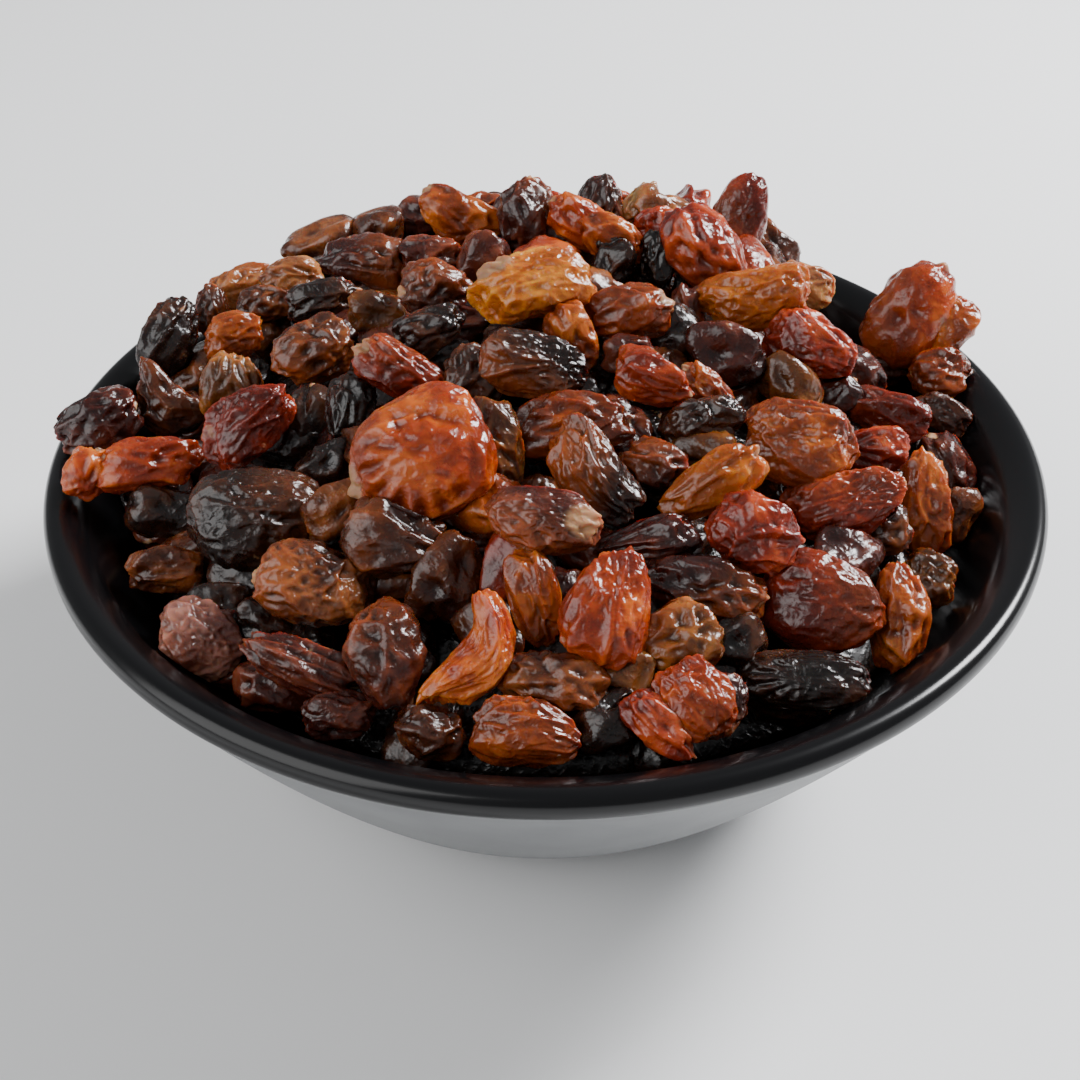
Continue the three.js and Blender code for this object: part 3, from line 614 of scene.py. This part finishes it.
def berry(points, raisin, level):
    """A raisin's shape in its own axes, with what creases the level can hold, but no folds yet."""
    random = np.random.default_rng(raisin["seed"])
    half = np.array([raisin["long"], raisin["wide"], raisin["wide"] * THICKNESS]) / 2
    swollen = (np.abs(points) ** BLUNTNESS).sum(axis=1, keepdims=True) ** (-1 / BLUNTNESS)
    x, y, z = (points * swollen).T
    taper = 1 - random.uniform(-TAPER, TAPER) * x
    shape = np.stack([x, y * taper, z * taper], axis=1) * half
    shape *= 1 + LUMPS["deep"] * waves(points, random, LUMPS["count"], LUMPS["pitch"])[:, None]
    for _ in range(DENTS["count"]):
        direction = unit(random.normal(size=3))
        depth = random.uniform(*DENTS["deep"])
        spread = random.uniform(*DENTS["spread"])
        shape *= 1 - depth * np.exp((points @ direction - 1) / spread**2)[:, None]
    ribbed = raisin.get("ribbed", random.uniform(0.85, 1.5))
    for count, long, depth, from_level in CREASES:
        if level >= from_level:
            depth *= raisin.get("creased", random.uniform(0.8, 1.2))
            long *= ribbed
            shape *= 1 - depth * ridges(points, random, count, long)[:, None]
    crumbly = 1 + 0.25 * waves(points, random, count=12, pitch=18.0)
    shape *= 1 + (NUB_PROUD * crumbly * stem_end(points, raisin))[:, None]
    shape[:, 1] += raisin.get("bend", 0) * raisin["wide"] * (x**2 - 0.5)
    shape[:, 2] -= half[2] * (raisin.get("dish", 0) * hollowed(x, y, z))
    return shape


def relax(shapes, target, out, rest, net, growth):
    """Lets each net take up its grown lengths while its flesh holds it near the target."""
    speed = np.zeros_like(shapes)
    for _ in range(growth["steps"]):
        away = shapes[:, net.near] - shapes[:, :, None]
        length = np.maximum(np.linalg.norm(away, axis=-1), 1e-6)
        pull = SPRING * (away * (1 - rest / length)[..., None]).sum(axis=2)
        off = shapes - target
        bow = net.mean_near(off) - off
        stiff = growth["bend"] * (net.mean_near(bow) - bow)
        height = (off * out).sum(axis=-1, keepdims=True)
        flesh = growth["core"] * height * out * np.where(height > 0, 1.6, 0.7)
        slip = 0.02 * (off - height * out)
        speed = KEPT_SPEED * speed + pull - stiff - flesh - slip
        shapes = shapes + speed
    return shapes


def grown_lengths(base, net, growth, raisins):
    """Rest lengths of the skin: more growth round a raisin than along it makes long folds."""
    away = base[:, net.near] - base[:, :, None]
    length = np.linalg.norm(away, axis=-1)
    along = (away[..., 0] / np.maximum(length, 1e-9)) ** 2
    growing = growth["long"] * along + growth["round"] * (1 - along)
    folds = np.array([raisin.get("folds", 1) for raisin in raisins])[:, None, None]
    patchy = 1 + 0.25 * own_waves(net.points, raisins, offset=7, count=12, pitch=3.0)
    patchy = np.clip(patchy, 0.4, 1.6)[..., None]
    return (length * (1 + folds * growing * patchy)).astype(base.dtype)


def press(shapes, net_raisins, all_raisins):
    """Pushes each raisin out of the higher ones that lie against it, and out of the bowl."""
    pressed = shapes.copy()
    for i, raisin in enumerate(net_raisins):
        world = shapes[i] @ raisin["axes"].T + raisin["centre"]
        reach = raisin["long"] / 2
        for other in all_raisins:
            if other["rank"] >= raisin["rank"]:
                continue
            apart = np.linalg.norm(other["centre"] - raisin["centre"])
            if apart > reach + other["long"] / 2:
                continue
            half = HARD_SHARE * np.array([other["long"], other["wide"], other["wide"] * THICKNESS])
            local = (world - other["centre"]) @ other["axes"] / half
            depth = np.linalg.norm(local, axis=1)
            inside = depth < 1
            if inside.any():
                local[inside] /= np.maximum(depth[inside], 0.35)[:, None]
                world[inside] = (local[inside] * half) @ other["axes"].T + other["centre"]
        world = clear_of_bowl(world)
        pressed[i] = (world - raisin["centre"]) @ raisin["axes"]
    return pressed


def clear_of_bowl(world):
    """Points moved inwards off the wall or, where that is nearer, up over the rim."""
    radius = np.hypot(world[:, 0], world[:, 1])
    wall = inner_radius(world[:, 2]) - BOWL_GAP
    deep = np.maximum(radius - wall, 0)
    under = np.maximum(RIM_HEIGHT + BOWL_GAP - world[:, 2], 0)
    lift = (deep > 0) & (under > 0) & (under < deep)
    world[lift, 2] = RIM_HEIGHT + BOWL_GAP
    inward = (deep > 0) & (under > 0) & ~lift
    world[inward, :2] *= (wall / np.maximum(radius, 1e-9))[inward, None]
    world[:, 2] = np.maximum(world[:, 2], FLOOR_HEIGHT + BOWL_GAP)
    return world


def cleared_shapes(shapes, raisins):
    """The raisins' shapes, each in its own axes, once they are clear of the bowl."""
    cleared = []
    for raisin, shape in zip(raisins, shapes):
        world = clear_of_bowl(shape @ raisin["axes"].T + raisin["centre"])
        cleared.append((world - raisin["centre"]) @ raisin["axes"])
    return np.stack(cleared)


def crease_depth(shapes, net, out):
    """How far each corner lies under the skin's smoothed surface, from 0, proud, to 1, deep."""
    smooth = shapes
    for _ in range(6):
        smooth = net.mean_near(smooth)
    height = ((shapes - smooth) * out).sum(axis=-1)
    return np.clip(0.5 - 2.6 * height, 0, 1)


def wrinkle(raisins, last_level, all_raisins):
    """Gives each raisin its points, its creases' depth and the net that joins them."""
    shapes = None
    for level in range(FIRST_LEVEL, last_level + 1):
        net = Net(level)
        base = np.stack([berry(net.points, raisin, level) for raisin in raisins]).astype(np.float32)
        target = press(base, raisins, all_raisins).astype(np.float32)
        out = net.normals(base).astype(np.float32)
        pitch = 7 * 2 ** (level - FIRST_LEVEL)
        ripple = own_waves(net.points, raisins, offset=level, count=24, pitch=pitch)
        ripple = ripple[..., None].astype(np.float32)
        if shapes is None:
            shapes = target + 0.12 * ripple * out
        else:
            middles = shapes[:, net.edges].mean(axis=2)
            shapes = np.concatenate([shapes, middles], axis=1) + 0.02 * ripple * out
        growth = SKIN_GROWTH[level]
        rest = grown_lengths(base, net, growth, raisins)
        shapes = relax(shapes, target, out, rest, net, growth)
    shapes = cleared_shapes(shapes, raisins)
    creases = crease_depth(shapes, net, net.normals(shapes))
    for raisin, shape, crease in zip(raisins, shapes, creases):
        raisin["points"] = shape @ raisin["axes"].T + raisin["centre"]
        raisin["crease"] = crease
        raisin["net"] = net


# Materials


def new_material(name):
    material = bpy.data.materials.new(name)
    material.use_nodes = True
    return material, material.node_tree, material.node_tree.nodes["Principled BSDF"]


def noise(tree, scale, detail=3.0, roughness=0.55, ridged=False):
    """Noise in the object's own space, smooth or with sharp little ridges, as of crumpled foil."""
    made = tree.nodes.new("ShaderNodeTexNoise")
    values = {"Scale": scale, "Detail": detail, "Roughness": roughness}
    if ridged:
        made.noise_type = "RIDGED_MULTIFRACTAL"
        values.update({"Offset": 0.9, "Gain": 1.6})
    for key, value in values.items():
        made.inputs[key].default_value = value
    place = tree.nodes.new("ShaderNodeTexCoord")
    tree.links.new(place.outputs["Object"], made.inputs["Vector"])
    return made.outputs["Fac"]


def ramp(tree, value, low, high, low_value=0.0, high_value=1.0):
    """A value carried from the range low to high into another range, and held inside it."""
    made = tree.nodes.new("ShaderNodeMapRange")
    made.clamp = True
    ends = {"From Min": low, "From Max": high, "To Min": low_value, "To Max": high_value}
    for key, number in ends.items():
        made.inputs[key].default_value = number
    tree.links.new(value, made.inputs["Value"])
    return made.outputs["Result"]


def mix(tree, share, first, second):
    """One colour over another, each a constant or another node's."""
    made = tree.nodes.new("ShaderNodeMix")
    made.data_type = "RGBA"
    for key, colour in (("A", first), ("B", second)):
        socket = [s for s in made.inputs if s.name == key and s.type == "RGBA"][0]
        if isinstance(colour, tuple):
            socket.default_value = (*colour, 1)
        else:
            tree.links.new(colour, socket)
    tree.links.new(share, made.inputs["Factor"])
    return [s for s in made.outputs if s.type == "RGBA"][0]


def maths(tree, operation, first, second):
    made = tree.nodes.new("ShaderNodeMath")
    made.operation = operation
    for socket, value in zip(made.inputs, (first, second)):
        if isinstance(value, (int, float)):
            socket.default_value = value
        else:
            tree.links.new(value, socket)
    return made.outputs["Value"]


def attribute(tree, name):
    made = tree.nodes.new("ShaderNodeAttribute")
    made.attribute_name = name
    return made.outputs["Fac"]


def bump(tree, height, distance, strength):
    made = tree.nodes.new("ShaderNodeBump")
    made.inputs["Distance"].default_value = distance
    made.inputs["Strength"].default_value = strength
    tree.links.new(height, made.inputs["Height"])
    return made.outputs["Normal"]


def raisin_material(name, skin):
    """Glossy skin over soft flesh: blotched, with painted shade in its creases and a painted glow on
    its lighter parts, dry where the stalk was.
    """
    material, tree, shader = new_material(name)
    crease = attribute(tree, "crease")
    blotches = noise(tree, 210, detail=2)
    mottle = noise(tree, 700, detail=3)
    toned = maths(tree, "MULTIPLY", attribute(tree, "tone"), 0.5)
    light = maths(tree, "ADD", ramp(tree, blotches, 0.34, 0.66), toned)
    # Painted light and shade: the deeper the skin lies in a crease the darker it is, so proud ridges
    # stay lighter
    light = maths(tree, "SUBTRACT", light, maths(tree, "MULTIPLY", crease, 0.5))
    colour = mix(tree, ramp(tree, light, 0.05, 1.1), skin["deep"], skin["flesh"])
    # Painted glow, as of light coming through, on the lightest parts: the lighter blotches and the
    # proud ridges
    colour = mix(tree, ramp(tree, light, 0.75, 1.35), colour, skin["glow"])
    patches = ramp(tree, blotches, 0.3, 0.6, 0.4, 1)
    warmer = maths(tree, "MULTIPLY", attribute(tree, "warm"), patches)
    colour = mix(tree, warmer, colour, WARM_SKIN)
    colour = mix(tree, ramp(tree, mottle, 0.54, 0.68, 0, 0.5), colour, skin["deep"])
    # Painted shade: the deepest creases take the skin's darkest colour
    colour = mix(tree, ramp(tree, crease, 0.6, 1, 0, 0.8), colour, skin["deep"])
    crumbs = ramp(tree, mottle, 0.3, 0.55, 0.5, 2.2)
    nub = ramp(tree, maths(tree, "MULTIPLY", attribute(tree, "stem"), crumbs), 0.2, 0.6)
    specks = ramp(tree, noise(tree, 420, detail=3), 0.7, 0.74, 0, 0.5)
    dry = maths(tree, "MAXIMUM", nub, specks)
    tree.links.new(mix(tree, dry, colour, DRY_SKIN), shader.inputs["Base Color"])
    gloss = ramp(tree, mottle, 0.35, 0.7, 0.16, 0.36)
    roughness = maths(tree, "MAXIMUM", gloss, ramp(tree, dry, 0, 1, 0, 0.7))
    tree.links.new(roughness, shader.inputs["Roughness"])
    fine = noise(tree, 900, detail=2, roughness=0.5, ridged=True)
    tree.links.new(bump(tree, fine, 0.15 * MM, 0.5), shader.inputs["Normal"])
    shader.inputs["Subsurface Weight"].default_value = 0.55
    shader.inputs["Subsurface Radius"].default_value = FLESH_SHARES
    shader.inputs["Subsurface Scale"].default_value = FLESH_SPREAD * MM
    shader.inputs["Transmission Weight"].default_value = skin["clear"]
    shader.inputs["Specular IOR Level"].default_value = 0.4
    shader.inputs["Coat Weight"].default_value = 0.3
    shader.inputs["Coat Roughness"].default_value = 0.14
    return material


def bowl_material():
    """Black glaze inside and round the rim, and a softer, speckled grey outside."""
    material, tree, shader = new_material("bowl_glaze")
    streaks = noise(tree, 60, detail=5)
    specks = noise(tree, 1800, detail=1)
    grey = mix(tree, ramp(tree, streaks, 0.35, 0.65), *GREY_GLAZE)
    grey = mix(tree, ramp(tree, specks, 0.7, 0.76, 0, 0.35), grey, GREY_SPECK)
    uneven = maths(tree, "MULTIPLY", streaks, 0.12)
    outside = ramp(tree, maths(tree, "ADD", attribute(tree, "outside"), uneven), 0.5, 0.62)
    tree.links.new(mix(tree, outside, BLACK_GLAZE, grey), shader.inputs["Base Color"])
    tree.links.new(ramp(tree, outside, 0, 1, 0.22, 0.42), shader.inputs["Roughness"])
    shader.inputs["Specular IOR Level"].default_value = 0.35
    waviness = bump(tree, noise(tree, 90, detail=3), 0.25 * MM, 0.12)
    tree.links.new(waviness, shader.inputs["Normal"])
    return material


def floor_material():
    material, tree, shader = new_material("pale_floor")
    colour = mix(tree, noise(tree, 6), *FLOOR_COLOURS)
    tree.links.new(colour, shader.inputs["Base Color"])
    shader.inputs["Roughness"].default_value = 0.9
    return material


# Pieces


def new_piece(name, points, faces, material, values):
    """A smooth mesh piece in metres, with a value at each corner for each named attribute."""
    mesh = bpy.data.meshes.new(name)
    mesh.from_pydata((np.asarray(points) * MM).tolist(), [], faces)
    mesh.shade_smooth()
    for key, numbers in values.items():
        layer = mesh.attributes.new(key, "FLOAT", "POINT")
        layer.data.foreach_set("value", np.asarray(numbers, dtype=np.float32))
    mesh.materials.append(material)
    piece = bpy.data.objects.new(name, mesh)
    bpy.context.scene.collection.objects.link(piece)
    return piece


def raisin_piece(name, raisins, material, replaced):
    """One piece of one or more raisins, in place of a node of the frame."""
    points, faces = [], []
    values = dict(crease=[], tone=[], stem=[], warm=[])
    count = 0
    for raisin in raisins:
        points.append(raisin["points"])
        faces.append(raisin["net"].faces + count)
        values["crease"].append(raisin["crease"])
        values["tone"].append(np.full(len(raisin["points"]), raisin["tone"]))
        values["stem"].append(stem_end(raisin["net"].points, raisin))
        values["warm"].append(warm_side(raisin))
        count += len(raisin["points"])
    values = {key: np.concatenate(numbers) for key, numbers in values.items()}
    faces = np.concatenate(faces).tolist()
    piece = new_piece(name, np.concatenate(points), faces, material, values)
    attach(piece, "root")
    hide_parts(replaced)


def turned_mesh(profile, sides):
    """Points and faces of a profile turned about Z. It starts and ends on the axis."""
    angles = 2 * math.pi * np.arange(sides) / sides
    rings = np.array(profile[1:-1])
    points = [(0, 0, profile[0][1])]
    for radius, height in rings:
        points += [(radius * math.cos(a), radius * math.sin(a), height) for a in angles]
    points.append((0, 0, profile[-1][1]))
    faces = []
    last = len(points) - 1
    for side in range(sides):
        after = (side + 1) % sides
        faces.append((0, 1 + after, 1 + side))
        for ring in range(len(rings) - 1):
            here = 1 + ring * sides
            there = here + sides
            faces.append((here + side, here + after, there + after, there + side))
        end = 1 + (len(rings) - 1) * sides
        faces.append((last, end + side, end + after))
    return points, faces


def arc(centre, radius, start, stop, count):
    """Points of a round edge, from one angle to another, in degrees from outwards."""
    angles = np.radians(np.linspace(start, stop, count))
    return [(centre[0] + radius * math.cos(a), centre[1] + radius * math.sin(a)) for a in angles]


def bowl_profile():
    """Radius, height and whether the grey glaze is there, from the foot's recess to the floor."""
    band_foot = RIM_HEIGHT - RIM_BAND
    profile = [(0, FOOT_DEPTH, 1), (FOOT_RADIUS - FOOT_WIDTH, FOOT_DEPTH, 1)]
    edge = FOOT_INNER_ROUND
    middle = (FOOT_RADIUS - FOOT_WIDTH + edge, edge)
    profile += [(r, z, 1) for r, z in arc(middle, edge, 180, 270, 5)]
    edge = FOOT_OUTER_ROUND
    middle = (FOOT_RADIUS - edge, edge)
    profile += [(r, z, 1) for r, z in arc(middle, edge, -90, 0, 5)]
    heights = np.linspace(1.6, band_foot - 0.3, WALL_RINGS)
    profile += [(outer_radius(z), z, 1) for z in heights]
    profile += [(RIM_RADIUS - BAND_PROUD * 0.6, band_foot, 0.5)]
    profile += [(RIM_RADIUS - 0.06, band_foot + 0.45, 0), (RIM_RADIUS, band_foot + 1, 0)]
    middle = (RIM_RADIUS - RIM_ROUND, RIM_HEIGHT - RIM_ROUND)
    profile += [(r, z, 0) for r, z in arc(middle, RIM_ROUND, 10, 90, 9)]
    profile += [(RIM_RADIUS - 2.0, RIM_HEIGHT - 0.06, 0), (RIM_RADIUS - 2.6, RIM_HEIGHT - 0.3, 0)]
    heights = np.linspace(RIM_HEIGHT - 1, FLOOR_HEIGHT + 0.1, WALL_RINGS)
    profile += [(inner_radius(z), z, 0) for z in heights]
    profile += [(FLOOR_RADIUS * 0.7, FLOOR_HEIGHT, 0), (0, FLOOR_HEIGHT, 0)]
    return profile


def make_bowl():
    profile = bowl_profile()
    points, faces = turned_mesh([(r, z) for r, z, _ in profile], BOWL_SIDES)
    glaze = [profile[0][2]]
    for ring in profile[1:-1]:
        glaze += [ring[2]] * BOWL_SIDES
    glaze.append(profile[-1][2])
    piece = new_piece("bowl_glazed", points, faces, bowl_material(), dict(outside=glaze))
    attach(piece, "root")
    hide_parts("bowl")


def make_core(material):
    """A sheet in the darkest black, as painted shade, which closes the gaps under the raisins."""
    rings = np.linspace(0, 1, CORE["rings"] + 1)[1:]
    sides = CORE["sides"]
    points = [(0, 0, float(heap_height(0, 0)) - CORE["depth"])]
    for share in rings:
        for a in 2 * math.pi * np.arange(sides) / sides:
            reach = CORE["radius"] * share
            x, y = reach * math.cos(a), reach * math.sin(a)
            z = max(float(heap_height(x, y)) - CORE["depth"], FLOOR_HEIGHT + 1)
            squeeze = min(1, (float(inner_radius(z)) - 0.5) / math.hypot(x, y))
            points.append((x * squeeze, y * squeeze, z))
    points.append((0, 0, FLOOR_HEIGHT + 1))
    faces = []
    last = len(points) - 1
    for side in range(sides):
        after = (side + 1) % sides
        faces.append((0, 1 + side, 1 + after))
        for ring in range(len(rings) - 1):
            here = 1 + ring * sides
            faces.append((here + side, here + sides + side, here + sides + after, here + after))
        end = 1 + (len(rings) - 1) * sides
        faces.append((last, end + after, end + side))
    # Painted shade: the whole sheet counts as deepest crease, so it takes the black skin's darkest
    # colour
    values = dict(crease=np.ones(len(points)))
    piece = new_piece("raisins_core", points, faces, material, values)
    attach(piece, "root")
    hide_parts("raisin_heap")


def dress(raisin):
    """Chance settles the tone, the stalk's end and the warmer side where none is given."""
    random = np.random.default_rng(raisin["seed"] + 3)
    raisin.setdefault("tone", random.random())
    raisin.setdefault("stem", random.choice([0, 0.35]))
    raisin.setdefault("stem_at", (random.choice([-1, 1]), 0, 0))
    raisin.setdefault("warm", random.uniform(0, 360))
    raisin.setdefault("warmth", random.choice([0, 0.2, 0.5]) if raisin["lift"] > 0 else 0)


def warm_side(raisin):
    """Share of the warmer colour at each point, growing towards an angle as seen."""
    angle = math.radians(raisin["warm"])
    across = unit(np.cross([0, 0, 1.0], SIGHT_BACK))
    towards = across * math.cos(angle) + np.cross(SIGHT_BACK, across) * math.sin(angle)
    reach = (raisin["points"] - raisin["centre"]) @ towards * 2 / raisin["wide"]
    return raisin["warmth"] * np.clip(0.4 + 0.8 * reach, 0, 1)


def make_raisins():
    """Every raisin: those on top as pieces of their own, the bedded ones as one for each colour."""
    seen = place_seen()
    fill = place_by_rule(FILL, seen, FILL_COLOURS)
    below = place_by_rule(BELOW, [], DARK_COLOURS)
    everyone = seen + fill + below
    for rank, raisin in enumerate(sorted(everyone, key=lambda r: -r["lift"])):
        raisin["rank"] = rank
        dress(raisin)
    fine_level = FINE_LEVEL
    fine = [raisin for raisin in seen if raisin.get("fine")]
    others = [raisin for raisin in seen if not raisin.get("fine")]
    plain = [raisin for raisin in others if raisin["lift"] > PLAIN_LIFT]
    rest = [raisin for raisin in others if raisin["lift"] <= PLAIN_LIFT] + fill + below
    wrinkle(fine, fine_level, everyone)
    wrinkle(plain, PLAIN_LEVEL, everyone)
    wrinkle(rest, FIRST_LEVEL, everyone)
    materials = {name: raisin_material(f"raisin_{name}", skin) for name, skin in SKINS.items()}
    for raisin in seen:
        if "node" in raisin:
            colour = raisin["colour"]
            name = raisin["node"].replace("raisin", "wrinkled")
            material = materials[raisin.get("skin", colour)]
            raisin_piece(name, [raisin], material, raisin["node"])
    for colour, material in materials.items():
        bedded = [r for r in everyone if "node" not in r and r["colour"] == colour]
        if bedded:
            raisin_piece(f"bedded_{colour}", bedded, material, "raisin_heap")
    make_core(materials["black"])


# Floor, light and camera


def add_area_light(name, place, size, power, colour):
    light = bpy.data.lights.new(name, "AREA")
    light.size = size
    light.energy = power
    light.color = colour
    lamp = bpy.data.objects.new(name, light)
    lamp.location = place
    aim = Vector(LAMP_TARGET) - Vector(place)
    lamp.rotation_euler = aim.to_track_quat("-Z", "Y").to_euler()
    bpy.context.scene.collection.objects.link(lamp)


def make_stage():
    corners = [(-1, -1), (1, -1), (1, 1), (-1, 1)]
    points = [(FLOOR_REACH * x, FLOOR_REACH * y, 0) for x, y in corners]
    mesh = bpy.data.meshes.new("floor")
    mesh.from_pydata(points, [], [(0, 1, 2, 3)])
    mesh.materials.append(floor_material())
    floor = bpy.data.objects.new("floor", mesh)
    bpy.context.scene.collection.objects.link(floor)
    for name, lamp in LAMPS.items():
        add_area_light(name, **lamp)
    world = bpy.data.worlds.new("pale_room")
    bpy.context.scene.world = world
    world.use_nodes = True
    background = world.node_tree.nodes["Background"]
    background.inputs["Color"].default_value = ROOM_COLOUR
    background.inputs["Strength"].default_value = ROOM_STRENGTH


def make_camera():
    camera = bpy.data.objects.new("camera", bpy.data.cameras.new("camera"))
    eye, _ = sight_through(SIGHT_CENTRE)
    camera.location = Vector(eye) * MM
    camera.rotation_euler = (math.pi / 2 - CAMERA_PITCH, 0, CAMERA_YAW)
    camera.data.lens = CAMERA_LENS
    camera.data.clip_start = 0.01
    bpy.context.scene.collection.objects.link(camera)
    bpy.context.scene.camera = camera


make_camera()
make_stage()
make_bowl()
make_raisins()
